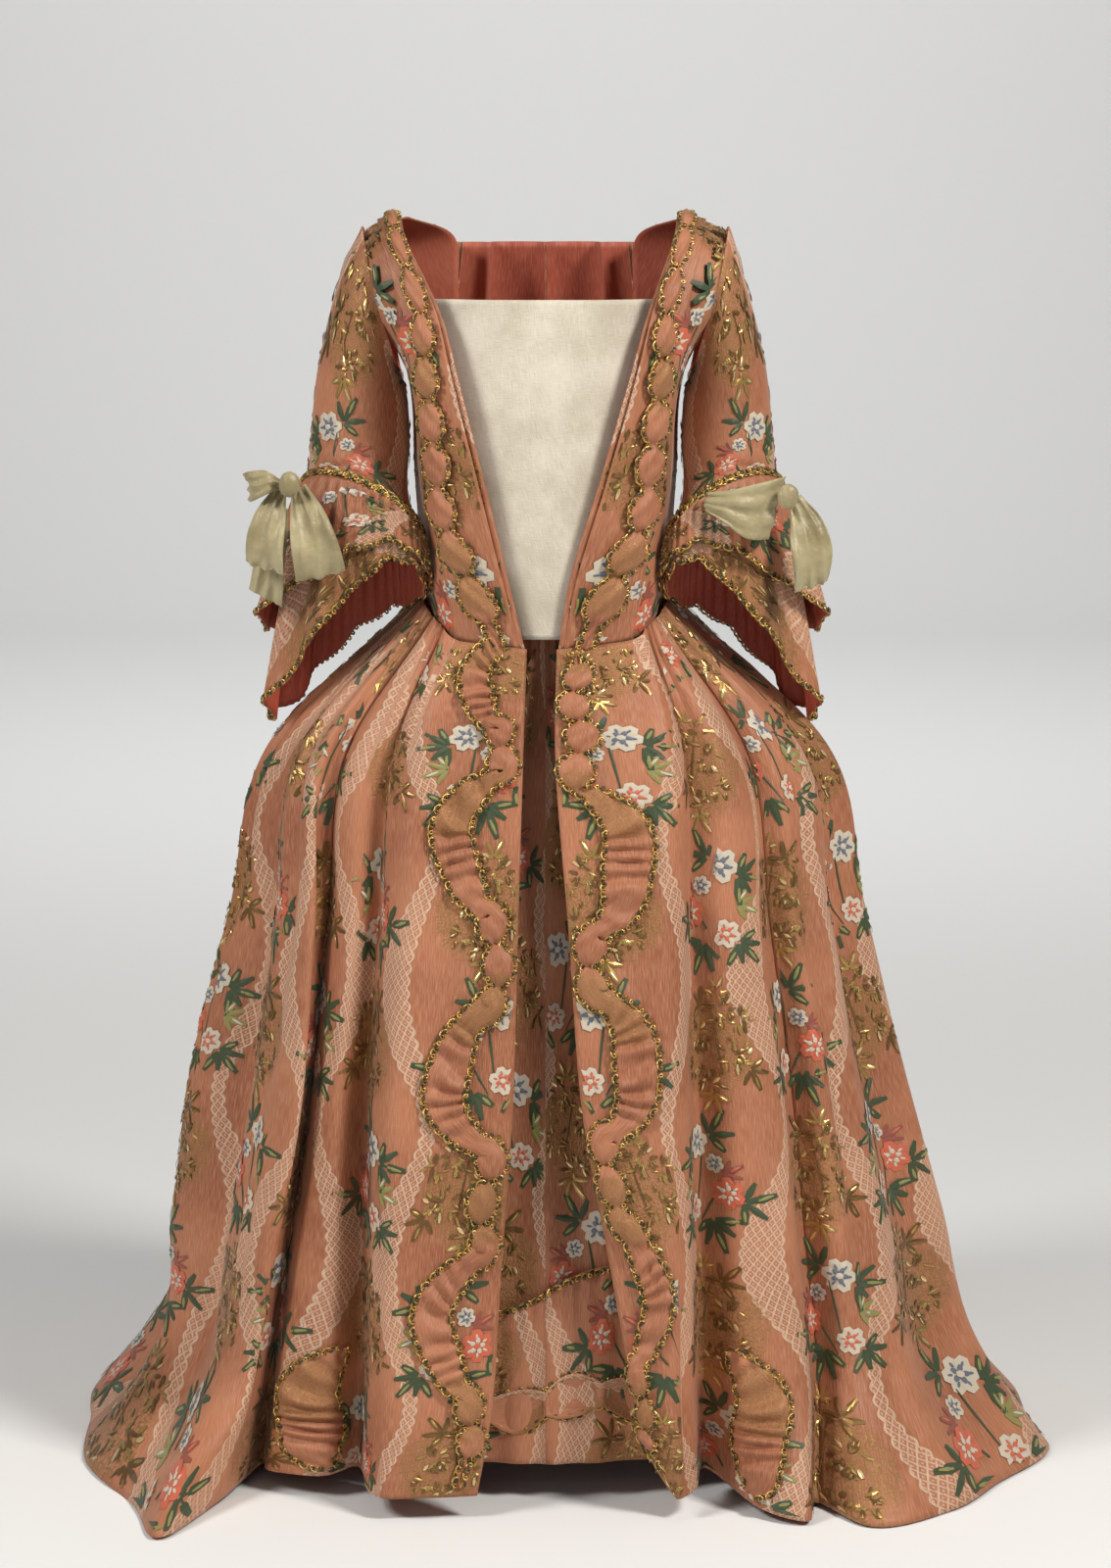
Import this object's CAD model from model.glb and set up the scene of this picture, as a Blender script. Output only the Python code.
"""Robe a la francaise: an open sack-back gown of brocaded silk over a petticoat, with a linen stomacher.

Metres, +Z up, front towards -Y, left and right are the wearer's. Each panel follows the table of its folds,
and u and v on it are metres of its cloth, across and down, so that the woven figure keeps its scale.
"""

import math
import random
from collections import namedtuple

import bmesh
import bpy
import numpy as np
from mathutils import Matrix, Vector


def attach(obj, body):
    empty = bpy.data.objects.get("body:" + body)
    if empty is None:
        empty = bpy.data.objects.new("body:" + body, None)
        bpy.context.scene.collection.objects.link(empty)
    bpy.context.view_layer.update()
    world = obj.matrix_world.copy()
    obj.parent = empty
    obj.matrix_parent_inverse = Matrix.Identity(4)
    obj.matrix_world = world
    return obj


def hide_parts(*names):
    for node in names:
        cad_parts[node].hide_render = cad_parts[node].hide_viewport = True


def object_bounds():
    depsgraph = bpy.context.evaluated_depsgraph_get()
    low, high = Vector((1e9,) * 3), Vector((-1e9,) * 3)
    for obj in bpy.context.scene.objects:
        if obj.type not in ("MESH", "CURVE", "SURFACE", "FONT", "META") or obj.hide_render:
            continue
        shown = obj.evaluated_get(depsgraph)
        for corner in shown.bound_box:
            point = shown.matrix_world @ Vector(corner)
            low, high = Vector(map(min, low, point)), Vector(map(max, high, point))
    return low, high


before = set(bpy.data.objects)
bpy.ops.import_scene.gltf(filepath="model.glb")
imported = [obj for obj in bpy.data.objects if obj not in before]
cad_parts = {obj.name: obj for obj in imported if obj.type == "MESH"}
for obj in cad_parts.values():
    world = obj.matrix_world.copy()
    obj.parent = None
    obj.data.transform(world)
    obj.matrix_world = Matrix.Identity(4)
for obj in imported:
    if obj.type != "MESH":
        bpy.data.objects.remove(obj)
cad_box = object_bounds()
link = bpy.context.scene.collection.objects.link


def meshed(name, bm, smooth=False):
    """A mesh made from this bmesh, which is freed."""
    mesh = bpy.data.meshes.new(name)
    bm.to_mesh(mesh)
    bm.free()
    if smooth:
        mesh.shade_smooth()
    return mesh


def placed(mesh, node=None, finishes=()):
    """An object that shows this mesh on the gown, in these finishes."""
    for finish in finishes:
        mesh.materials.append(finish)
    made = bpy.data.objects.new(mesh.name, mesh)
    link(made)
    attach(made, "root")
    if node:
        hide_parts(node)
    return made


def unit(vectors):
    return vectors / np.linalg.norm(vectors, axis=1)[:, None]


# ------------------------------------------------------------------ Camera, lamps and studio floor
# A long lens a little above shoulder height looks down at the gown, which stands on a pale floor that
# sweeps up into the back wall. Broad lamps stand to both sides and model the folds, with weaker ones filling.
CAMERA_PLACE = (0.011, -5.0, 0.12)
CAMERA_PITCH = math.radians(8.5)
camera_data = bpy.data.cameras.new("camera")
camera_data.lens = 104.2
camera_data.sensor_width = 36
camera = bpy.data.objects.new("camera", camera_data)
camera.location = CAMERA_PLACE
camera.rotation_euler = (math.pi / 2 - CAMERA_PITCH, 0, 0)
link(camera)
bpy.context.scene.camera = camera
bpy.context.scene.view_settings.view_transform = "Standard"

FLOOR = cad_box[0][2] - 0.001
Lamp = namedtuple("Lamp", "name place aim size power colour")
for lamp in (
    Lamp("key", (2.5, -2.3, 2.3), (0, 0, -0.3), 1.0, 165, (1.0, 0.97, 0.92)),
    Lamp("side", (-2.8, -2.0, 1.8), (0, 0, -0.3), 1.1, 100, (1.0, 0.98, 0.95)),
    Lamp("fill", (-0.8, -4.6, 0.6), (0, 0, -0.6), 2.0, 8, (1.0, 0.98, 0.96)),
    Lamp("top", (0.2, 0.6, 3.0), (0, 0, -0.5), 2.2, 14, (1.0, 1.0, 1.0)),
    Lamp("wall", (0.0, 4.9, 3.3), (0, 8.4, -0.5), 4.2, 175, (1.0, 1.0, 1.0)),
):
    light = bpy.data.lights.new(lamp.name, "AREA")
    light.size, light.energy, light.color = lamp.size, lamp.power, lamp.colour
    holder = bpy.data.objects.new(lamp.name, light)
    holder.location = lamp.place
    aim = np.subtract(lamp.aim, lamp.place)
    level = math.hypot(aim[0], aim[1])
    holder.rotation_euler = (math.atan2(level, -aim[2]), 0, math.atan2(-aim[0], aim[1]))
    link(holder)

world = bpy.context.scene.world = bpy.data.worlds.new("studio")
world.use_nodes = True
backdrop = world.node_tree.nodes["Background"].inputs
backdrop["Color"].default_value = (0.86, 0.87, 0.88, 1)
backdrop["Strength"].default_value = 0.11

SWEEP_NEAR, SWEEP_FAR, SWEEP_RADIUS, SWEEP_HIGH, STUDIO_HALF = -8.0, 8.0, 1.6, 4.5, 11.0
bm = bmesh.new()
start = bm.verts.new((-STUDIO_HALF, SWEEP_NEAR, FLOOR))
bend = bm.verts.new((-STUDIO_HALF, SWEEP_FAR, FLOOR))
bm.edges.new((start, bend))
bmesh.ops.spin(bm, geom=[bend], cent=(0, SWEEP_FAR, FLOOR + SWEEP_RADIUS), axis=(1, 0, 0),
               angle=math.pi / 2, steps=16)
bm.verts.ensure_lookup_table()
top = max(bm.verts, key=lambda vertex: vertex.co.z)
bm.edges.new((top, bm.verts.new((-STUDIO_HALF, top.co.y, SWEEP_HIGH))))
swept = bmesh.ops.extrude_edge_only(bm, edges=bm.edges)["geom"]
far_side = [part for part in swept if isinstance(part, bmesh.types.BMVert)]
bmesh.ops.translate(bm, vec=(2 * STUDIO_HALF, 0, 0), verts=far_side)
bmesh.ops.recalc_face_normals(bm, faces=bm.faces)
studio = bpy.data.objects.new("studio_sweep", meshed("studio_sweep", bm, smooth=True))
link(studio)
paper = bpy.data.materials.new("studio_paper")
paper.use_nodes = True
paper_sockets = paper.node_tree.nodes["Principled BSDF"].inputs
paper_sockets["Base Color"].default_value = (0.86, 0.86, 0.85, 1)
paper_sockets["Roughness"].default_value = 0.9
studio.data.materials.append(paper)

# ------------------------------------------------------------------ The figured silk
# A salmon silk woven with winding ribbons of ivory lattice, and with flowers and gilt sprays brocaded
# between them. The ground and the ribbons belong to the cloth; the flowers stand proud and come later.
class Thread:
    """A shader value. Python arithmetic on it adds Math nodes to its tree."""

    def __init__(self, tree, socket):
        self.tree, self.socket = tree, socket

    def node(self, kind, sockets, output=0, **settings):
        """A node of this kind: its settings first, then the values or links of its sockets."""
        made = self.tree.nodes.new(kind)
        for key, value in settings.items():
            setattr(made, key, value)
        for key, value in sockets.items():
            if isinstance(value, Thread):
                self.tree.links.new(value.socket, made.inputs[key])
            else:
                made.inputs[key].default_value = value
        return Thread(self.tree, made.outputs[output])

    def within(self, low, high):
        """0 below low, 1 above high and smooth between."""
        return self.node("ShaderNodeMapRange", {"Value": self, "From Min": low, "From Max": high},
                         interpolation_type="SMOOTHSTEP")

    def mix(self, first, second):
        """From the first colour, where this is 0, to the second, where it is 1."""
        colours = [c if isinstance(c, Thread) else (*c, 1) for c in (first, second)]
        return self.node("ShaderNodeMix", {0: self, 6: colours[0], 7: colours[1]}, output=2, data_type="RGBA")

    def noise(self, scale, detail=3.0, stretch=(1, 1, 1)):
        """Cloudy noise in the coordinates that this thread carries."""
        place = self.node("ShaderNodeMapping", {"Vector": self, "Scale": tuple(scale * s for s in stretch)})
        return place.node("ShaderNodeTexNoise", {"Vector": place, "Scale": 1.0, "Detail": detail})


def maths(operation, turned=False):
    """A method of Thread that adds this Math node, with its two values turned round if asked."""

    def method(self, *others):
        values = (*others, self) if turned else (self, *others)
        return self.node("ShaderNodeMath", dict(enumerate(values)), operation=operation)

    return method


Thread.__add__ = Thread.__radd__ = maths("ADD")
Thread.__mul__ = Thread.__rmul__ = maths("MULTIPLY")
Thread.__sub__, Thread.__rsub__ = maths("SUBTRACT"), maths("SUBTRACT", turned=True)
Thread.__truediv__, Thread.most = maths("DIVIDE"), maths("MAXIMUM")
Thread.fraction, Thread.size, Thread.sine = maths("FRACT"), maths("ABSOLUTE"), maths("SINE")


def finish_of(name, roughness, metallic=0.0, sheen=0.0, coat=0.0, specular=0.5, sheen_tint=(1, 1, 1)):
    """A new material, its shader, and its coordinate threads: Object, and the piece's cloth map."""
    made = bpy.data.materials.new(name)
    made.use_nodes = True
    tree = made.node_tree
    shader = tree.nodes["Principled BSDF"]
    for socket, value in (("Roughness", roughness), ("Metallic", metallic), ("Sheen Weight", sheen),
                          ("Coat Weight", coat), ("Specular IOR Level", specular), ("Sheen Roughness", 0.4),
                          ("Sheen Tint", (*sheen_tint, 1))):
        shader.inputs[socket].default_value = value
    coordinates = tree.nodes.new("ShaderNodeTexCoord")
    return made, shader, Thread(tree, coordinates.outputs["Object"]), Thread(tree, coordinates.outputs["UV"])


def plain(name, colour, *settings):
    """A finish of one colour."""
    made, shader, _, _ = finish_of(name, *settings)
    shader.inputs["Base Color"].default_value = (*colour, 1)
    return made


def dress(shader, height, distance, strength=1.0, **inputs):
    """Links colours and a bumped normal to the shader."""
    bump = height.node("ShaderNodeBump", {"Height": height, "Distance": distance, "Strength": strength})
    for name, value in {"Normal": bump, **inputs}.items():
        height.tree.links.new(value.socket, shader.inputs[name.replace("_", " ")])


COLUMN, REPEAT = 0.145, 0.300  # the figure's columns lie this far apart, and it repeats down the cloth
RIBBON_SWING, RIBBON_HALF, RIBBON_SWELL = 0.024, 0.0050, 0.0155
SCALLOP, SCALLOP_PITCH, RIM = 0.0035, 0.013, 0.0030  # the ribbon's edge
NET_PITCH, NET_SLANT = 0.0085, 0.8  # the ribbon's lattice
CLOUD_HALF, CLOUD_TALL = 0.060, 0.062  # the gilt's clouds, across and down
SALMON, SALMON_DEEP, SALMON_PALE = (0.440, 0.168, 0.082), (0.290, 0.092, 0.040), (0.580, 0.290, 0.170)
IVORY, GOLD = (0.760, 0.610, 0.450), (0.330, 0.205, 0.065)
GRAIN_HIGH, SILK_STRENGTH = 0.0004, 0.5


def silk_finish(name, ground=SALMON, deep=SALMON_DEEP, pale=SALMON_PALE, figured=True):
    """Silk with a fine grain; on figured silk, the lattice ribbons and the clouds of gilt between them."""
    made, shader, place, cloth = finish_of(name, 0.50, sheen=0.22, specular=0.35, sheen_tint=(1.0, 0.80, 0.68))
    across = cloth.node("ShaderNodeSeparateXYZ", {"Vector": cloth})
    down = Thread(across.tree, across.socket.node.outputs[1])
    clouds = place.noise(7.0, 2.0)
    streaks = cloth.noise(1.0, 2.0, (900, 60, 1))
    picks = cloth.noise(1.0, 2.0, (70, 1300, 1))
    colour = clouds.within(0.32, 0.70).mix(deep, ground)
    colour = (streaks.within(0.35, 0.75) * 0.55).mix(colour, pale)
    height = streaks * 0.5 + picks * 0.7
    looks = {"Roughness": 0.46 + 0.16 * picks}
    if figured:
        # The ribbon swings to and fro down its column, and its neighbours swing the other way.
        column = across / COLUMN
        turn = 2.0 - 4.0 * ((column - column.fraction()) * 0.5 + 0.25).fraction()
        swing = RIBBON_SWING * (down * (2 * math.pi / REPEAT)).sine() * turn
        off = (column.fraction() - 0.5) * COLUMN - swing
        swell = ((down + 0.07) * (math.pi / REPEAT)).sine().size()
        scallop = SCALLOP * (down * (math.pi / SCALLOP_PITCH)).sine().size()
        edge = RIBBON_HALF + RIBBON_SWELL * swell * swell + scallop
        inside = (edge - off.size()).within(0.0, 0.0009)
        first = ((off + down * NET_SLANT) / NET_PITCH).fraction() - 0.5
        second = ((off - down * NET_SLANT) / NET_PITCH).fraction() - 0.5
        lines = first.size().most(second.size()).within(0.36, 0.42)
        eye = (0.16 - first.size().most(second.size())).within(0.0, 0.05)
        rim = (off.size() - (edge - RIM)).within(0.0, 0.0006)
        figure = inside * lines.most(rim).most(eye * 0.8)
        figure = figure * (0.55 + 0.45 * streaks.within(0.3, 0.6))
        veil = (inside * 0.22).mix(colour, pale)
        colour = (figure * 0.60).mix(veil, IVORY)
        # A ragged cloud of gilt flecks lies round every gilt spray.
        row = down * (2 / REPEAT)
        first = ((column + row) * 0.5 + 0.5).fraction() - 0.5
        second = ((column - row) * 0.5 + 0.5).fraction() - 0.5
        wide, tall = (first + second) * (COLUMN / CLOUD_HALF), (first - second) * (REPEAT / 2 / CLOUD_TALL)
        ragged = cloth.noise(75.0, 3.0)
        cloud = (1.25 - (wide * wide + tall * tall) - 1.6 * (ragged - 0.5).size()).within(0.30, 0.62)
        gilt = cloud * cloth.noise(1.0, 3.0, (420, 330, 1)).within(0.47, 0.56)
        colour = (gilt * 0.85).mix((cloud * 0.16).mix(colour, deep), GOLD)
        height = height + figure * 2.4 + gilt * 2.0
        looks["Metallic"] = gilt * 0.6
    dress(shader, height, GRAIN_HIGH, SILK_STRENGTH, Base_Color=colour, **looks)
    return made


SILK = silk_finish("figured_silk")
REVERSE = silk_finish("silk_reverse", (0.48, 0.13, 0.075), (0.34, 0.07, 0.04), (0.56, 0.19, 0.12), False)


def weights(keys, at):
    """How much each key counts at each place, on the smooth curve that passes through all of them."""
    keys = np.asarray(keys, float)
    at = np.atleast_1d(np.asarray(at, float))
    full = np.eye(len(keys))
    step = np.diff(keys)
    slope = np.diff(full, axis=0) / step[:, None]
    before, after = step[:-1, None], step[1:, None]
    inner = (slope[:-1] * after + slope[1:] * before) / (before + after)
    tangent = np.concatenate([slope[:1], inner, slope[-1:]])
    i = np.clip(np.searchsorted(keys, at, side="right") - 1, 0, len(keys) - 2)
    h = step[i][:, None]
    f = (at - keys[i])[:, None] / h
    return (
        (2 * f**3 - 3 * f**2 + 1) * full[i]
        + (f**3 - 2 * f**2 + f) * h * tangent[i]
        + (3 * f**2 - 2 * f**3) * full[i + 1]
        + (f**3 - f**2) * h * tangent[i + 1]
    )


def curve(keys, values, at):
    return weights(keys, at) @ np.asarray(values, float)


def distances(points):
    """Distance from the first point to each, along straight steps."""
    steps = np.linalg.norm(np.diff(np.asarray(points, float), axis=0), axis=-1)
    return np.concatenate([[0.0], np.cumsum(steps)])


Crease = namedtuple("Crease", "x y to_x to_y depth half")  # a soft trough, or a ridge where depth is below 0


def creased(*table):
    return [Crease(*row) for row in table]


class Cloth:
    """A surface of cloth over on(u, v), which each kind of piece gives. Creases and pleats lift it outwards."""

    creases, depth, step, side = (), 0.0, 0.002, 1
    runs = 1  # -1 where u falls from one column of the cloth to the next
    shift = (0.0, 0.0)  # where the woven figure starts, across and down

    def metres(self, u, v):
        """The distance across and down the cloth."""
        return u, v

    def places(self, x, y):
        """The place at this distance across and down."""
        return x, y

    def outward(self, u, v):
        step = self.step
        along = self.on(u + step, v) - self.on(u - step, v)
        down = self.on(u, v + step) - self.on(u, v - step)
        return unit(np.cross(down, along) * self.side * self.runs)

    def lift(self, u, v):
        """How far the pleats and creases stand out at each place."""
        out = np.zeros(len(u))
        if self.depth:
            start, wide, shows = self.pleat(u, v)
            f = np.clip((u - start) / wide, 0, 1)
            out += self.depth * (1 - shows) * 2.1 * f**0.35 * (1 - f)
        x, y = self.metres(u, v)
        for crease in self.creases:
            run_x, run_y = crease.to_x - crease.x, crease.to_y - crease.y
            length = math.hypot(run_x, run_y)
            along = ((x - crease.x) * run_x + (y - crease.y) * run_y) / length**2
            aside = ((x - crease.x) * run_y - (y - crease.y) * run_x) / length
            bend = 0.25 * crease.half * np.sin(9 * along + 40 * crease.x)
            fade = np.sin(np.pi * np.clip(along, 0, 1)) ** 0.6
            out -= crease.depth * fade * np.exp(-(((aside + bend) / crease.half) ** 2))
        return out

    def at(self, u, v, out=0.0):
        u, v = (np.array(x, float) for x in np.broadcast_arrays(u, v))
        return self.on(u, v) + self.outward(u, v) * (self.lift(u, v) + out)[:, None]

    def line(self, u, v, out):
        """A line of points this far out from the cloth, and the outward direction at each."""
        u, v = (np.array(x, float) for x in np.broadcast_arrays(u, v))
        return self.at(u, v, out), self.outward(u, v)

    def chart(self, u, v):
        """Where a place lies on the uncut cloth."""
        return self.metres(u, v)

    def seek(self, x, y):
        """The place of a point of the uncut cloth, and whether it shows."""
        u, v = self.places(x, y)
        return u, v, np.ones(len(x), bool)


class Net(Cloth):
    """A panel through a table of points. u runs over its rows and v down its columns, in metres of cloth."""

    def __init__(self, rows, side=1, measured_at=-1, depth=0.0, pleats=None, creases=()):
        self.points = np.array(rows, float) * (side, 1, 1)
        self.side, self.depth, self.creases = side, depth, creases
        self.across = distances(self.points[:, measured_at])
        self.down = distances(self.points.mean(axis=0))
        self.pleats = np.array([0, self.across[-1]] if pleats is None else pleats(self.across))

    def on(self, u, v):
        return np.einsum(
            "mf,ml,flk->mk", weights(self.across, u), weights(self.down, v), self.points, optimize=True
        )

    def pleat(self, u, v):
        """The start and the width of the pleat at u, and how much of that width shows at v."""
        k = np.clip(np.searchsorted(self.pleats, u, side="right") - 1, 0, len(self.pleats) - 2)
        start, wide = self.pleats[k], np.diff(self.pleats)[k]
        middle = start + wide / 2
        ends = self.on(middle + 0.3 * wide, v) - self.on(middle - 0.3 * wide, v)
        return start, wide, np.clip(np.linalg.norm(ends, axis=1) / (0.6 * wide), 0.05, 1)

    def chart(self, u, v):
        """A pleat hides the far part of its width."""
        start, wide, shows = self.pleat(u, v)
        return start + (u - start) * shows, v

    def seek(self, x, y):
        start, wide, shows = self.pleat(x, y)
        seen = (x - start <= wide * shows) & (x >= self.pleats[0]) & (x <= self.pleats[-1])
        return start + (x - start) / shows, y, seen


def steps(places, size):
    """These places with as many even steps between them as keep each under this size."""
    found = [np.linspace(a, b, math.ceil((b - a) / size), endpoint=False) for a, b in zip(places, places[1:])]
    return np.append(np.concatenate(found), places[-1])


def at_place(out, v):
    """How far out a piece lies, where that is a number or a function of v."""
    return out(v) if callable(out) else out


def woven(name, cloth, across, down, node, finish=SILK, inside=REVERSE, out=0.0, wall=0.0012,
          tube=False):
    """A shell of cloth: a flat grid carried onto the cloth, with its cloth map, then given its wall inwards."""
    bm = bmesh.new()
    bm.loops.layers.uv.new("cloth")
    columns, rows = len(across) - 1, len(down) - 1
    bmesh.ops.create_grid(bm, x_segments=columns, y_segments=rows, size=0.5)
    if cloth.side > 0:
        bmesh.ops.reverse_faces(bm, faces=bm.faces)
    flat = np.array([vertex.co[:2] for vertex in bm.verts]) + 0.5
    mesh = meshed(name, bm)
    u = np.asarray(across, float)[np.rint(flat[:, 0] * columns).astype(int)]
    v = np.asarray(down, float)[np.rint(flat[:, 1] * rows).astype(int)]
    mesh.vertices.foreach_set("co", cloth.at(u, v, at_place(out, v)).reshape(-1))
    corners = np.empty(len(mesh.loops), int)
    mesh.loops.foreach_get("vertex_index", corners)
    charted = (np.stack(cloth.chart(u, v), axis=1) - cloth.shift)[corners]
    mesh.uv_layers["cloth"].data.foreach_set("uv", charted.reshape(-1))
    if tube:
        bm = bmesh.new()
        bm.from_mesh(mesh)
        bmesh.ops.remove_doubles(bm, verts=bm.verts, dist=1e-5)
        bm.to_mesh(mesh)
        bm.free()
    mesh.shade_smooth()
    made = placed(mesh, node, [finish, inside] if inside else [finish])
    thickness = made.modifiers.new("Wall", "SOLIDIFY")
    thickness.thickness, thickness.offset = wall, -1
    if inside:
        thickness.material_offset = 1
    return made


Mark = namedtuple("Mark", "x y turn long wide thread layer")  # one brocaded leaf, petal or stem
THREADS = {
    "leaf": (0.040, 0.062, 0.024), "lime": (0.260, 0.235, 0.070), "ivory": (0.580, 0.500, 0.390),
    "rose": (0.560, 0.120, 0.060), "crimson": (0.270, 0.070, 0.045), "blue": (0.125, 0.145, 0.185),
    "gilt": (0.460, 0.290, 0.090), "bronze": (0.220, 0.125, 0.042), "glint": (0.820, 0.620, 0.300),
}
METALS = ("gilt", "bronze", "glint")
THREAD_FINISHES = [
    plain(f"thread_{thread}", colour, *((0.34, 0.65) if thread in METALS else (0.55, 0.0)), 0.2)
    for thread, colour in THREADS.items()
]


def rose(x, y, radius, petal, shade):
    """A full-blown flower: six petals, a shaded ring of smaller ones, and a small heart."""
    marks = []
    for count, reach, long, wide, thread in (
        (6, 0.58, 0.92, 0.86, petal), (6, 0.55, 0.34, 0.16, shade), (5, 0.30, 0.44, 0.30, shade),
    ):
        for k in range(count):
            turn = 360 * k / count + 900 * x
            lean = math.radians(turn)
            marks.append(Mark(x + reach * radius * math.cos(lean), y + reach * radius * math.sin(lean), turn,
                              long * radius, wide * radius, thread, k % 2 if thread == petal else 2))
    return [*marks, Mark(x, y, 20, 0.46 * radius, 0.38 * radius, petal, 3)]


def sprig(x, y, turn, count, long, dark, light, spread=150):
    """A fan of pointed leaves from one point, every other one with a paler streak."""
    marks = []
    for k in range(count):
        lean = math.radians(turn + spread * (k / (count - 1) - 0.5))
        reach = long * (0.80 + 0.35 * ((k * 7) % 3) / 2)
        ahead, aside = math.cos(lean), math.sin(lean)
        marks.append(Mark(x + 0.5 * reach * ahead, y + 0.5 * reach * aside, math.degrees(lean), reach,
                          (0.29 - 0.05 * (k % 2)) * long, dark, 0))
        if k % 2 == 0:
            marks.append(Mark(x + 0.60 * reach * ahead, y + 0.60 * reach * aside, math.degrees(lean) + 6,
                              0.5 * reach, 0.11 * long, light, 1))
    return marks


BOUQUET = [
    *rose(.012, -.046, .019, "ivory", "blue"), *rose(-.028, .006, .0175, "rose", "ivory"),
    *rose(.018, .026, .0155, "ivory", "rose"), *rose(-.014, -.024, .0105, "ivory", "blue"),
    *sprig(.03, -.034, 8, 5, .034, "leaf", "lime"), *sprig(-.008, -.054, 215, 4, .032, "leaf", "lime"),
    *sprig(-.044, .014, 165, 4, .032, "leaf", "lime"), *sprig(.032, .036, 45, 5, .03, "leaf", "lime"),
    *sprig(.03, -.004, 0, 4, .026, "lime", "ivory", 110), *sprig(-.012, .038, 110, 5, .034, "leaf", "lime"),
    *sprig(-.022, -.014, 190, 4, .024, "crimson", "rose", 100),
    Mark(.004, -.01, 82, .072, .0026, "leaf", 0), Mark(-.008, .022, 60, .05, .0024, "leaf", 0),
]
chance = random.Random(1760)


def tuft(x, y, radius, count):
    """A rounded cluster of short metal strokes that point out from its middle."""
    marks = []
    for k in range(count):
        turn = chance.uniform(0, 360)
        reach = radius * math.sqrt(chance.random())
        thread = chance.choices(("bronze", "gilt", "glint"), (0.50, 0.36, 0.14))[0]
        marks.append(Mark(x + reach * math.cos(math.radians(turn)), y + reach * math.sin(math.radians(turn)),
                          turn + chance.uniform(-40, 40), chance.uniform(0.007, 0.013),
                          chance.uniform(0.0024, 0.0046), thread, k % 3))
    return marks


GILT_SPRAY = [
    *tuft(.004, -.042, .019, 26), *tuft(-.022, -.012, .018, 22), *tuft(.022, .004, .019, 24),
    *tuft(-.008, .036, .016, 18), *tuft(.03, -.032, .012, 11), *tuft(-.034, .022, .012, 11),
    *sprig(-.018, -.046, 200, 4, .026, "bronze", "gilt"), *sprig(.038, .022, 40, 4, .024, "bronze", "gilt"),
    *sprig(-.004, .05, 95, 4, .024, "gilt", "glint"), *sprig(.002, -.058, 270, 4, .02, "gilt", "glint"),
    Mark(0, -.006, 80, .08, .0022, "bronze", 0),
]
BROCADE_OUT, LAYER, HUB_OUT = 0.0008, 0.0005, 0.0006  # how far the brocading, its layers and a mark's hub rise


def motif(name, marks):
    """A flat mesh of the marks, y down the cloth and z out of it."""
    bm = bmesh.new()
    for mark in marks:
        stretch = Matrix.Diagonal((mark.long / 2, mark.wide / 2, 1, 1))
        place = Matrix.Translation((mark.x, mark.y, LAYER * mark.layer))
        turned = place @ Matrix.Rotation(math.radians(mark.turn), 4, "Z") @ stretch
        made = bmesh.ops.create_circle(bm, cap_ends=True, cap_tris=True, segments=6, radius=1, matrix=turned)
        hub = max(made["verts"], key=lambda vertex: len(vertex.link_edges))
        hub.co.z += HUB_OUT
        for face in hub.link_faces:
            face.material_index = list(THREADS).index(mark.thread)
    return meshed(name, bm)


BOUQUET_MESH, SPRAY_MESH = motif("bouquet", BOUQUET), motif("gilt_spray", GILT_SPRAY)
REACH = (0.06, 0.08)  # no motif reaches farther from its middle, across or down


def brocade(name, cloth, across, down, out=0.0):
    """Flowers and gilt sprays woven in at their places between these limits of a cloth's chart."""
    bm = bmesh.new()
    offsets = []
    for column in range(math.floor(across[0] / COLUMN) - 1, math.ceil(across[1] / COLUMN) + 1):
        for half in range(2 * math.floor(down[0] / REPEAT) - 2, 2 * math.ceil(down[1] / REPEAT) + 2):
            mesh = BOUQUET_MESH if (half + column) % 2 else SPRAY_MESH
            mirror = -1 if (column + half // 2) % 2 else 1
            x = cloth.shift[0] + COLUMN * column + 0.010 * mirror
            y = cloth.shift[1] + REPEAT * half / 2
            if (across[0] - REACH[0] < x < across[1] + REACH[0]
                    and down[0] - REACH[1] < y < down[1] + REACH[1]):
                bm.from_mesh(mesh)
                offsets += [(x, y, mirror)] * len(mesh.vertices)
    flat = np.array([vertex.co for vertex in bm.verts])
    offsets = np.array(offsets)
    x, y = flat[:, 0] * offsets[:, 2] + offsets[:, 0], flat[:, 1] + offsets[:, 1]
    u, v, seen = cloth.seek(x, y)
    seen &= (x > across[0] + 0.002) & (x < across[1] - 0.002) & (y > down[0] + 0.003) & (y < down[1] - 0.003)
    places = cloth.at(u, v, flat[:, 2] + at_place(out, v) + BROCADE_OUT)
    for vertex, place in zip(bm.verts, places):
        vertex.co = place
    turned = [face for face in bm.faces if offsets[face.verts[0].index, 2] * cloth.side > 0]
    bmesh.ops.reverse_faces(bm, faces=turned)
    bmesh.ops.delete(bm, geom=[vertex for vertex, shown in zip(bm.verts, seen) if not shown], context="VERTS")
    placed(meshed(name, bm), finishes=THREAD_FINISHES)


def cut(net, first=0, last=None):
    """The flat width and length of what shows between two rows of a net, and its area."""
    widths = np.array([distances(level)[-1] for level in net.points[first:last].swapaxes(0, 1)])
    area = np.sum((widths[1:] + widths[:-1]) / 2 * np.diff(net.down))
    return (round(widths.max() + 0.001, 3), round(net.down[-1] + 0.001, 3)), round(area, 5)



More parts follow.
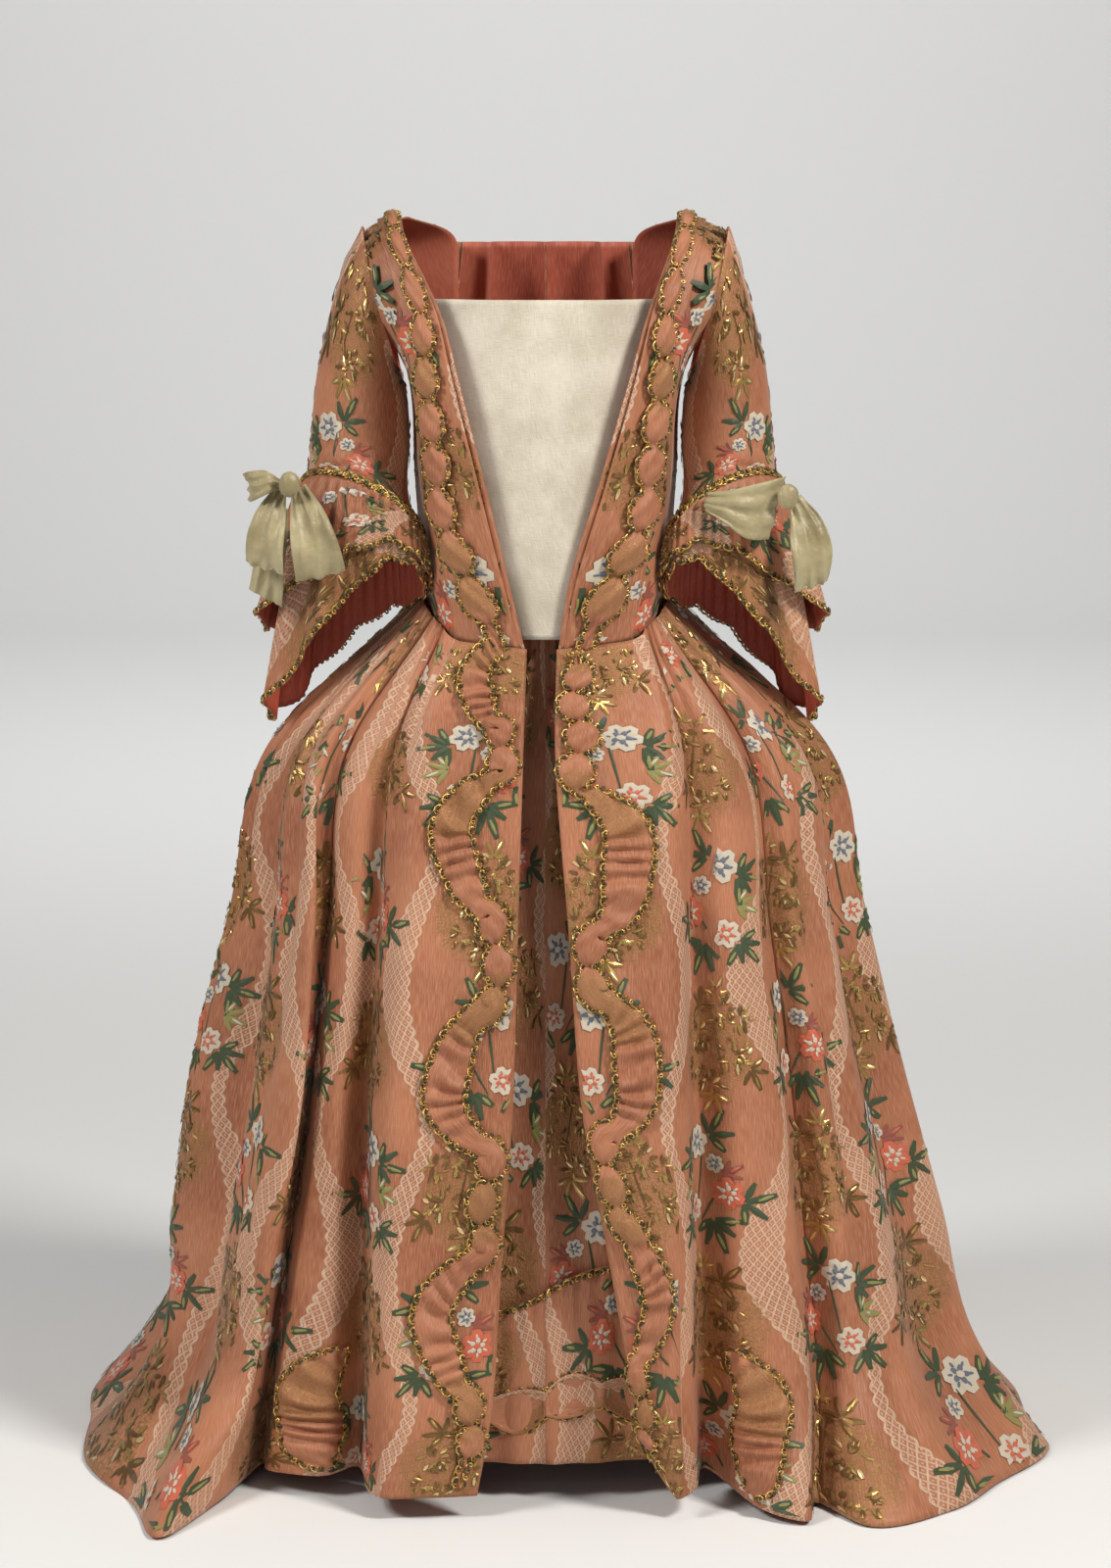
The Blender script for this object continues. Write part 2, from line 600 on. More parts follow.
# ------------------------------------------------------------------ Gown skirts
# Each side is a front panel and a side panel, pleated into the waist and seamed in the recess between
# them. The front edges hang open, the sides spread over the hoops and the back runs into the train.
# Each row is a fold from the open edge round to the seam with the sack back: its place at the waist
# (x outwards, y, z), at the hip, knee and ankle levels (x, y), and at the hem (x, y, z).
HIP, KNEE, ANKLE = -0.580, -0.950, -1.270
LYING = FLOOR + 0.003
SIDES = {"right": -1, "left": 1}
Fold = namedtuple("Fold", "name waist hip knee ankle hem")
RIGHT_FOLDS = [
    Fold("edge", (.02, -.13, -.466), (.024, -.166), (.035, -.236), (.058, -.284), (.073, -.3, -1.354)),
    Fold("middle", (.062, -.124, -.462), (.088, -.162), (.102, -.24), (.118, -.292), (.127, -.308, -1.354)),
    Fold("fold", (.102, -.112, -.456), (.15, -.152), (.173, -.234), (.178, -.286), (.181, -.303, -1.354)),
    Fold("turn", (.107, -.104, -.452), (.158, -.138), (.182, -.218), (.188, -.27), (.19, -.286, -1.354)),
    Fold("recess", (.113, -.096, -.446), (.168, -.118), (.196, -.164), (.204, -.192), (.208, -.2, -1.352)),
    Fold("hem_in", (.117, -.092, -.443), (.19, -.124), (.224, -.19), (.24, -.222), (.246, -.23, -1.354)),
    Fold("hem_out", (.121, -.084, -.44), (.206, -.114), (.243, -.172), (.282, -.204), (.296, -.208, -1.356)),
    Fold("tuck", (.125, -.076, -.438), (.217, -.092), (.258, -.128), (.302, -.15), (.312, -.158, -1.362)),
    Fold("great", (.13, -.064, -.434), (.24, -.1), (.264, -.186), (.322, -.206), (.352, -.244, LYING)),
    Fold("outer", (.134, -.05, -.431), (.262, -.072), (.308, -.14), (.362, -.192), (.404, -.372, LYING)),
    Fold("hollow", (.137, -.032, -.428), (.276, -.03), (.336, -.05), (.388, -.09), (.448, -.256, LYING)),
    Fold("crest", (.14, -.01, -.425), (.304, .004), (.402, 0), (.442, 0), (.514, -.1, LYING)),
    Fold("side_back", (.14, .014, -.422), (.288, .046), (.37, .066), (.424, .084), (.526, .062, LYING)),
    Fold("back_crest", (.137, .038, -.42), (.282, .104), (.384, .158), (.45, .198), (.532, .216, LYING)),
    Fold("back_hollow", (.13, .062, -.42), (.222, .126), (.296, .19), (.374, .27), (.486, .354, LYING)),
    Fold("train_crest", (.124, .086, -.42), (.196, .176), (.266, .274), (.336, .38), (.44, .492, LYING)),
    Fold("sack_seam", (.116, .104, -.42), (.162, .19), (.216, .296), (.278, .414), (.378, .566, LYING)),
]
LEFT_FOLDS = [
    Fold("edge", (.012, -.13, -.466), (.011, -.166), (.04, -.238), (.098, -.282), (.106, -.288, -1.305)),
    Fold("middle", (.058, -.124, -.462), (.072, -.162), (.092, -.242), (.124, -.29), (.136, -.302, -1.350)),
    Fold("fold", (.1, -.112, -.456), (.132, -.152), (.141, -.236), (.147, -.288), (.15, -.304, -1.354)),
    Fold("turn", (.105, -.104, -.452), (.141, -.138), (.151, -.22), (.158, -.272), (.161, -.288, -1.352)),
    Fold("recess", (.111, -.097, -.446), (.152, -.122), (.164, -.176), (.17, -.204), (.174, -.212, -1.350)),
    Fold("hem_in", (.116, -.093, -.443), (.184, -.128), (.208, -.2), (.222, -.258), (.23, -.3, -1.368)),
    Fold("hem_out", (.121, -.085, -.44), (.208, -.112), (.252, -.18), (.28, -.256), (.281, -.326, -1.374)),
    Fold("tuck", (.125, -.077, -.438), (.22, -.09), (.27, -.132), (.298, -.196), (.296, -.262, -1.374)),
    Fold("great", (.13, -.064, -.434), (.246, -.09), (.3, -.146), (.33, -.222), (.34, -.33, LYING)),
    Fold("outer", (.134, -.05, -.431), (.278, -.062), (.342, -.1), (.4, -.172), (.44, -.276, LYING)),
    Fold("hollow", (.137, -.032, -.428), (.284, -.026), (.354, -.04), (.43, -.078), (.5, -.176, LYING)),
    Fold("crest", (.14, -.01, -.425), (.312, .004), (.404, .008), (.492, .004), (.566, -.06, LYING)),
    Fold("side_back", (.14, .014, -.422), (.292, .048), (.376, .072), (.454, .09), (.556, .064, LYING)),
    Fold("back_crest", (.137, .038, -.42), (.282, .1), (.38, .152), (.46, .194), (.55, .22, LYING)),
    Fold("back_hollow", (.13, .062, -.42), (.224, .128), (.3, .192), (.382, .274), (.496, .356, LYING)),
    Fold("train_crest", (.124, .086, -.42), (.198, .176), (.268, .276), (.34, .384), (.446, .494, LYING)),
    Fold("sack_seam", (.116, .104, -.42), (.162, .19), (.216, .296), (.278, .414), (.378, .566, LYING)),
]
FOLDS = {"right": RIGHT_FOLDS, "left": LEFT_FOLDS}
CREASES = {
    "right": creased(
        (.045, .02, .05, .34, .0035, .01), (.095, 0, .07, .45, .004, .012), (.11, .1, .12, .6, -.003, .01),
        (.02, .3, .085, .42, .0025, .007), (.03, .58, .11, .66, .0022, .008), (.35, .08, .37, .95, .0108, .012),
        (.42, .05, .47, .8, .0081, .014), (.52, .1, .56, 1.02, .0121, .016), (.6, .04, .62, .7, .0095, .013),
        (.68, .06, .7, .98, .0121, .016), (.76, .05, .79, .8, .0108, .014), (.85, .05, .87, 1.02, .0121, .016),
        (.93, .05, .95, .9, .0095, .013),
    ),
    "left": creased(
        (.055, .02, .05, .3, .0035, .01), (.085, 0, .06, .52, .0045, .012), (.03, .34, .095, .48, .0028, .008),
        (.025, .66, .09, .76, .0025, .009), (.36, .1, .4, .98, .0115, .013), (.45, .05, .5, .85, .0081, .013),
        (.56, .08, .59, 1.02, .0121, .016), (.64, .05, .66, .76, .0101, .013),
        (.72, .06, .75, 1.00, .0115, .016), (.81, .05, .83, .82, .0108, .014),
        (.89, .05, .92, 1.00, .0108, .014),
    ),
}
PANEL_FOLD, HEM_FOLD, TUCK = 2, 5, 7  # rows: the front panel's outer fold, the fold beyond, and the panels' seam
SEAM_HALF = 0.0002  # half the gap between the front and side panels
CELL = 0.0065
TURNED_IN = 0.007  # the pleats run this far up behind the waist seam
PLEAT_COUNT, PLEAT_DEPTH = 15, 0.0075


def skirt_pleats(across):
    """One wide flat fold over the front panel, then uneven knife pleats round to the back."""
    even = np.linspace(across[PANEL_FOLD], across[-1], PLEAT_COUNT + 1)
    even[1:-1] += 0.012 * np.sin(2.4 * np.arange(1, PLEAT_COUNT))
    return [0, *even]


def between(hip, knee, ankle):
    """The levels from hip to ankle, with one halfway in each gap."""
    return hip, np.add(hip, knee) / 2, knee, np.add(knee, ankle) / 2, ankle


SKIRT = {}
for name, side in SIDES.items():
    rows = [
        [fold.waist, *between(*[(*place, z) for place, z in zip(fold[2:5], (HIP, KNEE, ANKLE))]), fold.hem]
        for fold in FOLDS[name]
    ]
    skirt = SKIRT[name] = Net(rows, side, 3, PLEAT_DEPTH, skirt_pleats, CREASES[name])
    skirt.shift = (0.040, 0.03)
    down = np.append(-TURNED_IN, steps(skirt.down, CELL))
    seam = skirt.across[TUCK]
    for panel, ends, places in (
        ("front", (0, TUCK + 1), [*skirt.across[:TUCK], seam - SEAM_HALF]),
        ("side", (TUCK, None), [seam + SEAM_HALF, *skirt.across[TUCK + 1:]]),
    ):
        made = woven(f"silk_skirt_{panel}_{name}", skirt, steps(places, CELL), down, f"skirt_{panel}_{name}")
        flat, area = cut(skirt, *ends)
    brocade(f"brocade_skirt_{name}", skirt, (0, skirt.across[-1]), (0, skirt.down[-1]))

# ------------------------------------------------------------------ Sack back
# Two box pleats a side are sewn down at the back of the neck and fall loose into the train. Each row is a
# fold, with its place (x outwards, y) at the nape, shoulder blade, waist, hip, knee, ankle and hem.
NAPE, BLADE = -0.030, -0.200
Pleat = namedtuple("Pleat", "name nape blade waist hip knee ankle hem")
PLEATS = [
    Pleat("side_edge", (.094, .08), (.112, .106), (.114, .109), (.161, .194),
          (.215, .3), (.277, .418), (.377, .57)),
    Pleat("outer_fold", (.102, .09), (.118, .126), (.126, .152), (.166, .226),
          (.22, .334), (.28, .452), (.372, .604)),
    Pleat("outer_face", (.074, .1), (.088, .14), (.098, .174), (.124, .248),
          (.164, .364), (.21, .484), (.29, .642)),
    Pleat("valley", (.062, .092), (.071, .122), (.079, .15), (.099, .22),
          (.132, .33), (.172, .452), (.24, .62)),
    Pleat("inner_fold", (.059, .105), (.069, .144), (.076, .182), (.096, .26),
          (.128, .378), (.162, .5), (.222, .668)),
    Pleat("inner_face", (.011, .111), (.014, .152), (.018, .194), (.022, .276),
          (.03, .396), (.04, .524), (.056, .702)),
    Pleat("centre", (0, .101), (0, .13), (0, .16), (0, .234),
          (0, .348), (0, .476), (0, .676)),
]
SACK_HEIGHTS = (NAPE, BLADE, -0.420, HIP, KNEE, ANKLE, LYING)
SACK_CREASES = creased(
    (.06, .25, .07, 1.20, .005, .014), (.15, .1, .16, .9, -.0035, .012), (.24, .35, .23, 1.30, .0045, .016),
    (.35, .3, .37, 1.25, .006, .018), (.41, .15, .4, .8, -.003, .012),
)
VALLEY = 3  # row: the fold between the two box pleats
SACK_LAP = 0.014  # the sack runs this far under the skirt's side
SACK_CELL = 0.008
for name, side in SIDES.items():
    rows = []
    for pleat in PLEATS:
        places = [(x, y, z) for (x, y), z in zip(pleat[1:], SACK_HEIGHTS)]
        rows.append([*places[:3], *between(*places[3:6]), places[6]])
    sack = Net(rows, side, -1, 0.0, lambda across: [0, across[VALLEY], across[-1]], SACK_CREASES)
    sack.shift = (0.06, 0.08)
    across = steps([-SACK_LAP, *sack.across[1:]], SACK_CELL)
    made = woven(f"silk_sack_back_{name}", sack, across, steps(sack.down, SACK_CELL), f"sack_back_{name}")
    flat, area = cut(sack)
    brocade(f"brocade_sack_back_{name}", sack, (0, sack.across[-1]), (0, sack.down[-1]))

# ------------------------------------------------------------------ Bodice
# Fitted fronts and backs, with the front edge of the gown folded back on itself as a robing from the
# shoulder to the waist. A stiff panel of plain linen fills the open front, under both robings.
# Each row is a level from the shoulder seam to the waist seam, with its places (x outwards, y, z) at the
# front edge, at the middle and at the armhole or side seam.
Level = namedtuple("Level", "name edge middle side")
BODICE_FRONT = {
    "right": [
        Level("shoulder", (.158, .004, 0), (.18, .004, -.005), (.2, .004, -.017)),
        Level("collar", (.15, -.06, -.024), (.172, -.056, -.029), (.192, -.05, -.044)),
        Level("chest", (.112, -.111, -.102), (.147, -.098, -.105), (.179, -.062, -.106)),
        Level("bust", (.094, -.127, -.17), (.134, -.098, -.174), (.15, -.001, -.176)),
        Level("rib", (.066, -.131, -.28), (.117, -.099, -.28), (.1435, -.001, -.28)),
        Level("low", (.037, -.129, -.4), (.099, -.104, -.396), (.137, -.001, -.38)),
        Level("waist", (.022, -.127, -.463), (.09, -.11, -.453), (.134, -.001, -.42)),
    ],
    "left": [
        Level("shoulder", (.144, .004, 0), (.172, .004, -.005), (.2, .004, -.017)),
        Level("collar", (.138, -.06, -.024), (.165, -.056, -.029), (.192, -.05, -.044)),
        Level("chest", (.11, -.111, -.102), (.145, -.098, -.105), (.178, -.062, -.106)),
        Level("bust", (.091, -.127, -.17), (.133, -.098, -.174), (.15, -.001, -.176)),
        Level("rib", (.059, -.131, -.28), (.115, -.099, -.28), (.1435, -.001, -.28)),
        Level("low", (.024, -.129, -.4), (.097, -.104, -.396), (.137, -.001, -.38)),
        Level("waist", (.014, -.127, -.463), (.088, -.11, -.453), (.134, -.001, -.42)),
    ],
}
BODICE_BACK = [
    Level("shoulder", (.15, .0075, 0), (.175, .0075, -.005), (.197, .0075, -.017)),
    Level("nape", (.101, .071, -.024), (.146, .062, -.032), (.189, .046, -.046)),
    Level("blade", (.097, .08, -.08), (.144, .078, -.092), (.1765, .062, -.104)),
    Level("underarm", (.098, .092, -.16), (.134, .076, -.17), (.151, .003, -.176)),
    Level("rib", (.094, .096, -.28), (.126, .068, -.28), (.1445, .003, -.28)),
    Level("waist", (.09, .094, -.416), (.117, .066, -.416), (.135, .003, -.416)),
]
ROBING_OUT = 0.0055
ROBING_EDGES = (0.004, 0.058)  # in cloth from the bodice's front edge
BODICE_CREASES = creased(
    (.02, .3, .11, .4, .0016, .006), (.03, .38, .12, .44, .002, .006), (.06, .1, .115, .22, .0018, .007),
)


def robing_out(v):
    """How far the robing lies out from the bodice: it closes in to meet the skirt."""
    return ROBING_OUT * (1 - 0.75 * np.clip((v - 0.40) / 0.07, 0, 1))


BODICE = {}
for name, side in SIDES.items():
    rows = list(zip(*[level[1:] for level in BODICE_FRONT[name]]))
    front = BODICE[name] = Net(rows, side, 3, creases=BODICE_CREASES)
    back = Net(list(zip(*[level[:0:-1] for level in BODICE_BACK])), side, 3)
    front.shift = back.shift = (0.05, 0.02)
    for part, net in (("front", front), ("back", back)):
        made = woven(f"silk_bodice_{part}_{name}", net, steps(net.across, CELL), steps(net.down, CELL),
                     f"bodice_{part}_{name}")
        flat, area = cut(net)
        brocade(f"brocade_bodice_{part}_{name}", net, (0, net.across[-1]), (0, net.down[-1]))
    down = np.linspace(0.004, front.down[-1] + 0.001, 80)
    made = woven(f"silk_robing_{name}", front, steps(ROBING_EDGES, 0.004), down, f"robing_{name}",
                 out=robing_out)
    brocade(f"brocade_robing_{name}", front, ROBING_EDGES, (0.004, front.down[-1] - 0.004), out=robing_out)

Section = namedtuple("Section", "z half centre_y quarter_y edge_y")
STOMACHER = [
    Section(-.086, .126, -.118, -.113, -.084),
    Section(-.13, .118, -.123, -.117, -.091),
    Section(-.2, .106, -.126, -.12, -.099),
    Section(-.3, .08, -.127, -.123, -.108),
    Section(-.4, .052, -.126, -.123, -.114),
    Section(-.452, .036, -.124, -.121, -.113),
]
SET_BACK = 0.006
LINEN, shader, place, weave = finish_of("slubbed_linen", 0.8, sheen=0.1, specular=0.25)
slubs, warps = weave.noise(1.0, 3.0, (90, 1500, 1)), weave.noise(1.0, 3.0, (1300, 70, 1))
cast = place.noise(9.0).within(0.3, 0.7)
tone = (0.35 * slubs + 0.35 * warps + 0.3 * cast).within(0.3, 0.7)
dress(shader, slubs + warps, GRAIN_HIGH, 0.7, Base_Color=tone.mix((0.490, 0.430, 0.330), (0.740, 0.680, 0.570)))
rows = [
    [(share * s.half, (s.edge_y, s.quarter_y, s.centre_y)[depth] + SET_BACK, s.z) for s in STOMACHER]
    for share, depth in ((-1, 0), (-0.55, 1), (0, 2), (0.55, 1), (1, 0))
]
linen = Net(rows, 1, 1, creases=creased((.12, .02, .11, .35, .0008, .02), (.05, .08, .17, .12, .0006, .01)))
made = woven("linen_stomacher", linen, steps(linen.across, CELL), steps(linen.down, CELL), "stomacher",
             LINEN, None, wall=0.003)
flat, area = cut(linen)

# ------------------------------------------------------------------ Sleeves and their flounces
# Close sleeves to the elbow end in a cord of gathered braid. Two flounces of the same silk hang from each
# cuff, short over the inside of the arm and long behind the elbow, with scalloped edges.
# Each row is a ring round the arm: its centre, and the vectors to its outer side and to its front.
Ring = namedtuple("Ring", "name centre out front")
SLEEVE = [
    Ring("armhole", (.1815, 0, -.092), (.022, 0, .076), (0, -.06, -.004)),
    Ring("cap", (.1925, 0, -.114), (.032, 0, .053), (0, -.064, 0)),
    Ring("upper", (.201, 0, -.174), (.048, 0, .016), (0, -.063, 0)),
    Ring("middle", (.2035, 0, -.234), (.054, 0, .006), (0, -.061, .004)),
    Ring("elbow", (.206, -.012, -.284), (.0545, .006, .012), (-.004, -.057, .018)),
    Ring("cuff", (.2, -.036, -.326), (.06, .016, .034), (-.016, -.046, .03)),
]
LAST = len(SLEEVE) - 1
TURN = 2 * math.pi
NEARER = {"right": 0.0, "left": 0.008}  # the left sleeve is this much slimmer on its outer side


def ring_point(angle, v, side, nearer, grow=1.0):
    """A point of the sleeve, at this angle from its outer side and v rings down."""
    share = weights(range(len(SLEEVE)), v)
    centre, out, front = (share @ np.array([ring[k] for ring in SLEEVE]) for k in (1, 2, 3))
    place = centre + grow * (np.cos(angle)[:, None] * out + np.sin(angle)[:, None] * front)
    place[:, 0] -= nearer * np.clip(v, 0, 1) * (0.5 + 0.5 * np.cos(angle))
    return place * (side, 1, 1)


BRAID = [
    plain("braid_bright", (0.62, 0.40, 0.125), 0.36, 0.75), plain("braid_dull", (0.33, 0.19, 0.055), 0.36, 0.75),
    plain("braid_dark", (0.060, 0.060, 0.022), 0.36, 0.2),
]
BRAID_CYCLE, BRAID_STOPS = 12, (5, 9)  # its segments run bright, then from these stops dull and dark
BRAID_SIDES, LOOP_STEPS = 4, 7
LOOP, LOOP_HALF, LOOP_LONG, LOOP_LIFT, BRAID_THICK = 0.0076, 0.0031, 1.2, 0.0006, 0.0013


def braid(name, points, node=None):
    """Looped braid along a line of points: each turn of its thread makes a small loop on the cloth."""
    length = distances(points[0])
    at = np.linspace(0, length[-1], LOOP_STEPS * round(length[-1] / LOOP) + 1)
    line, normal = (np.stack([np.interp(at, length, row) for row in values.T], axis=1) for values in points)
    along = unit(np.gradient(line, axis=0))
    turn = (TURN * np.arange(len(at)) / LOOP_STEPS)[:, None]
    loops = np.cos(turn) * np.cross(along, normal) + LOOP_LONG * np.sin(turn) * along
    path = line + LOOP_HALF * loops + LOOP_LIFT * np.sin(turn / 2) * normal
    along = unit(np.gradient(path, axis=0))
    aside = unit(np.cross(along, normal))
    raised = np.cross(aside, along)
    bm = bmesh.new()
    bmesh.ops.create_grid(bm, x_segments=len(path) - 1, y_segments=BRAID_SIDES, size=0.5)
    for vertex in bm.verts:
        k = round((vertex.co.x + 0.5) * (len(path) - 1))
        angle = TURN * (vertex.co.y + 0.5)
        vertex.co = path[k] + BRAID_THICK * (math.cos(angle) * aside[k] + math.sin(angle) * raised[k])
    for k, face in enumerate(bm.faces):
        place = k % (len(path) - 1) % BRAID_CYCLE
        face.material_index = sum(place >= stop for stop in BRAID_STOPS)
    bmesh.ops.remove_doubles(bm, verts=bm.verts, dist=1e-5)
    bmesh.ops.holes_fill(bm, edges=[edge for edge in bm.edges if edge.is_boundary])
    bmesh.ops.recalc_face_normals(bm, faces=bm.faces)
    placed(meshed(name, bm, smooth=True), node, BRAID)


class Tube(Cloth):
    """Cloth that goes round: u is an angle that falls, girth metres of cloth to a radian, and v goes down."""

    runs = -1
    deep = 1.0  # metres of cloth to each v

    def metres(self, u, v):
        return -u * self.girth, v * self.deep

    def places(self, x, y):
        return -x / self.girth, y / self.deep


class Arm(Tube):
    """A sleeve: u is the angle, from the outer side towards the back, and v counts the rings."""

    shift = (0.02, 0.04)
    girth = 0.062

    def __init__(self, side, nearer, creases):
        self.side, self.nearer, self.creases = side, nearer, creases
        self.length = distances([ring.centre for ring in SLEEVE])

    def on(self, u, v):
        return ring_point(u, v, self.side, self.nearer)

    def metres(self, u, v):
        return -u * self.girth, np.interp(v, range(len(SLEEVE)), self.length)

    def places(self, x, y):
        return -x / self.girth, np.interp(y, self.length, range(len(SLEEVE)))


SLEEVE_CREASES = creased(
    (.3, .15, .39, .2, .003, .007), (.29, .19, .36, .23, .0026, .006), (.27, .11, .33, .15, .002, .007),
    (.02, .17, .09, .14, .0022, .008), (.18, .05, .26, .09, .002, .007), (.31, .02, .34, .13, .0018, .008),
)
SLEEVE_HEAD = -0.12  # the sleeve starts this many rings above its table
for name, side in SIDES.items():
    arm = Arm(side, NEARER[name], SLEEVE_CREASES)
    made = woven(f"silk_sleeve_{name}", arm, np.linspace(0, -TURN, 61), np.linspace(SLEEVE_HEAD, LAST, 41),
                 f"sleeve_{name}", tube=True)
    brocade(f"brocade_sleeve_{name}", arm, (0, TURN * arm.girth), (0.004, arm.length[-1]))

# A flounce hangs from the cuff: short over the inner front of the arm and long behind the elbow.
Flounce = namedtuple("Flounce", "name out short long flare waves grow")
FLOUNCES = (
    Flounce("upper", 0.003, 0.030, 0.150, 0.34, 7, 1.09),
    Flounce("lower", 0.002, 0.040, 0.250, 0.19, 9, 1.02),
)
LONGEST = -0.15  # angle round the cuff where a flounce is longest
SCALLOPS, SCALLOP_DEEP, RIPPLE = 11, 0.007, 0.010
CUFF_BRAIDS = ((LAST - 0.26, 1.10), (LAST - 0.14, 1.13), (LAST - 0.02, 1.12))  # ring, and share of its girth


class Fall(Tube):
    """One flounce: u is the angle round the cuff and v the share of its depth."""

    shift = (0.02, 0.06)
    girth = 0.085

    def __init__(self, flounce, side, nearer):
        self.flounce, self.side, self.nearer, self.deep = flounce, side, nearer, flounce.long

    def on(self, u, v):
        v, flounce = np.maximum(v, 0), self.flounce
        start = ring_point(u, np.full(len(u), LAST + 0.06), self.side, self.nearer, flounce.grow)
        middle = ring_point(u * 0, np.full(len(u), LAST + 0.0), self.side, self.nearer, 0.0)
        level = unit((start - middle) * (1, 1, 0))
        deep = (0.5 + 0.5 * np.cos(u - LONGEST)) ** 2.2
        length = flounce.short + (flounce.long - flounce.short) * deep
        scallop = SCALLOP_DEEP * np.abs(np.sin(SCALLOPS * u / 2)) * v
        ripple = RIPPLE * v * deep * np.sin(flounce.waves * u)
        out = flounce.flare * length * v**0.8 * (0.35 + 0.65 * deep) + ripple + flounce.out
        return start + level * out[:, None] + ((length + scallop) * v)[:, None] * (0, 0, -1)

    def lift(self, u, v):
        """Gathers run down from the cuff and die out towards the edge."""
        return 0.0022 * np.sin(41 * u + 2 * np.sin(5 * u)) * np.clip(v * 8, 0, 1) * (1 - 0.6 * v)


LINING = silk_finish("flounce_lining", (0.40, 0.07, 0.035), (0.25, 0.03, 0.018), (0.50, 0.12, 0.07), False)
for name, side in SIDES.items():
    angles = np.linspace(0, -TURN, 181)
    for flounce in FLOUNCES:
        fall = Fall(flounce, side, NEARER[name])
        piece = f"flounce_{flounce.name}_{name}"
        made = woven(f"silk_{piece}", fall, angles, np.linspace(0, 1, 26), piece, inside=LINING,
                     tube=True)
        brocade(f"brocade_{piece}", fall, (0, TURN * fall.girth), (0.012, flounce.long - 0.004))
        braid(f"braid_{piece}", fall.line(angles, 0.985, 0.0014))
    angles = np.linspace(0, -TURN, 121)
    for row, (level, grow) in enumerate(CUFF_BRAIDS):
        ring, centre = (ring_point(angles, np.full(121, level), side, NEARER[name], k) for k in (grow, 0))
        node = f"cuff_trim_{name}" if row == 1 else None
        braid(f"braid_cuff_{row}_{name}", (ring, unit(ring - centre)), node)

# ------------------------------------------------------------------ Bows on the sleeves
# A soft silk ribbon is tied in loops round a knot on the front of each cuff, crumpled and never pressed.
# Each ribbon follows its bends: the middle of the ribbon (x outwards, y, z) and the vector to its edge.
BOWS = {
    "right": {
        "loop_inner": [
            ((.268, -.094, -.288), (.008, 0, -.004)), ((.256, -.116, -.322), (.02, .002, -.006)),
            ((.247, -.12, -.36), (.026, .003, -.006)), ((.243, -.11, -.386), (.027, .003, -.006)),
            ((.247, -.098, -.366), (.024, .002, -.006)), ((.26, -.089, -.314), (.01, 0, -.004)),
        ],
        "loop_outer": [
            ((.286, -.094, -.29), (.006, 0, .004)), ((.298, -.108, -.322), (.017, .004, .006)),
            ((.304, -.11, -.354), (.02, .006, .007)), ((.305, -.098, -.378), (.021, .006, .007)),
            ((.302, -.086, -.352), (.018, .004, .006)), ((.29, -.083, -.31), (.007, 0, .004)),
        ],
        "loop_upper": [
            ((.284, -.094, -.285), (.002, 0, .006)), ((.3, -.106, -.281), (.002, .004, .012)),
            ((.318, -.102, -.286), (.004, .004, .015)), ((.324, -.09, -.29), (.004, .002, .015)),
            ((.308, -.08, -.286), (.002, .002, .012)), ((.288, -.083, -.286), (.002, 0, .006)),
        ],
        "tail": [
            ((.288, -.074, -.312), (.008, 0, .002)), ((.296, -.07, -.346), (.014, .002, .003)),
            ((.302, -.076, -.384), (.017, .002, .006)), ((.306, -.072, -.412), (.018, 0, .01)),
        ],
    },
    "left": {
        "loop_inner": [
            ((.25, -.1, -.31), (.009, .002, .034)), ((.224, -.112, -.312), (.008, .002, .03)),
            ((.196, -.114, -.307), (.004, 0, .017)), ((.175, -.108, -.303), (.001, 0, .01)),
            ((.198, -.1, -.305), (.004, 0, .014)), ((.24, -.093, -.309), (.008, 0, .025)),
        ],
        "loop_outer": [
            ((.27, -.092, -.306), (.006, 0, .01)), ((.283, -.106, -.336), (.018, .004, .012)),
            ((.291, -.108, -.372), (.02, .004, .01)), ((.289, -.098, -.398), (.018, .004, .006)),
            ((.285, -.087, -.37), (.016, .002, .008)), ((.274, -.084, -.322), (.007, 0, .006)),
        ],
    },
}
KNOTS = {"right": (0.276, -0.112, -0.284), "left": (0.262, -0.114, -0.297)}
KNOT_SIZE = (0.011, 0.008, 0.014)
RIBBON, shader, place, _ = finish_of("bow_silk", 0.42, sheen=0.25, specular=0.4)
colour = place.noise(22.0).within(0.3, 0.7).mix((0.270, 0.220, 0.110), (0.450, 0.385, 0.220))
dress(shader, place.noise(60.0, 3.0) + 0.5 * place.noise(160.0, 2.0), 0.003, 0.6, Base_Color=colour)


class Ribbon(Net):
    def lift(self, u, v):
        """Crumples that run out of the knot, and a rolled edge."""
        share = u / self.across[-1] - 0.5
        wave = np.sin(7 * share + 70 * v) + 0.5 * np.sin(15 * share - 120 * v + 1.5)
        pleats = np.abs(np.sin(9.4 * share + 0.6 * np.sin(30 * v)))
        return 0.0014 * wave - 0.0028 * pleats + 0.004 * share**2


